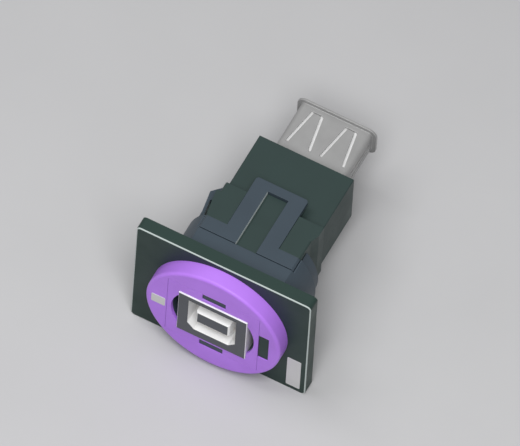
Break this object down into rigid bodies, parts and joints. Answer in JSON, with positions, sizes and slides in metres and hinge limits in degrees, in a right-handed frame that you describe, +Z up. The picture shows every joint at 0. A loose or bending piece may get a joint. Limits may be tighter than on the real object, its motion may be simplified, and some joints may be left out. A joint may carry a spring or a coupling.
{
  "type": "panel mount usb coupler",
  "caption": "Panel mount coupler with a square type B socket in front and a flat type A socket behind.",
  "frame": {"origin": "centre of the flange plate's rear face, which seats on the panel", "axes": "+X along the plate's long side, +Y from the front to the back through the panel, +Z up"},
  "size_m": [0.031, 0.0424, 0.026],
  "materials": {
    "plate_plastic": "satin moulded",
    "purple_plastic": "satin moulded",
    "collar_plastic": "satin moulded",
    "housing_plastic": "satin moulded",
    "socket_metal": "satin plated",
    "b_insulator": "moulded",
    "board": "solder mask",
    "shell_metal": "plated sheet",
    "a_insulator": "moulded",
    "contact_metal": "gold plated"
  },
  "bodies": {
    "coupler": {"flange_plate": "plate_plastic", "colour_disc": "purple_plastic", "front_insert": "purple_plastic", "carrier_collar": "collar_plastic", "upper_housing": "housing_plastic", "lower_housing": "housing_plastic", "usb_b_shell": "socket_metal", "usb_b_insulator": "b_insulator", "circuit_board": "board", "usb_a_shell": "shell_metal", "usb_a_insulator": "a_insulator", "usb_b_contact_1": "contact_metal", "usb_b_contact_2": "contact_metal", "usb_b_contact_3": "contact_metal", "usb_b_contact_4": "contact_metal", "usb_a_contact_1": "contact_metal", "usb_a_contact_2": "contact_metal", "usb_a_contact_3": "contact_metal", "usb_a_contact_4": "contact_metal"},
    "latch_upper": {"latch_upper": "collar_plastic"},
    "latch_lower": {"latch_lower": "collar_plastic"}
  },
  "joints": [
    {"name": "latch_upper_lift", "type": "hinge", "parent": "coupler", "child": "latch_upper", "pos_m": [0, 0.0055, 0.0074], "axis": [1, 0, 0], "range_deg": [0, 4], "stiffness_Nm_per_rad": 0.2},
    {"name": "latch_lower_lift", "type": "hinge", "parent": "coupler", "child": "latch_lower", "pos_m": [0, 0.0055, -0.0074], "axis": [-1, 0, 0], "range_deg": [0, 4], "stiffness_Nm_per_rad": 0.2}
  ]
}
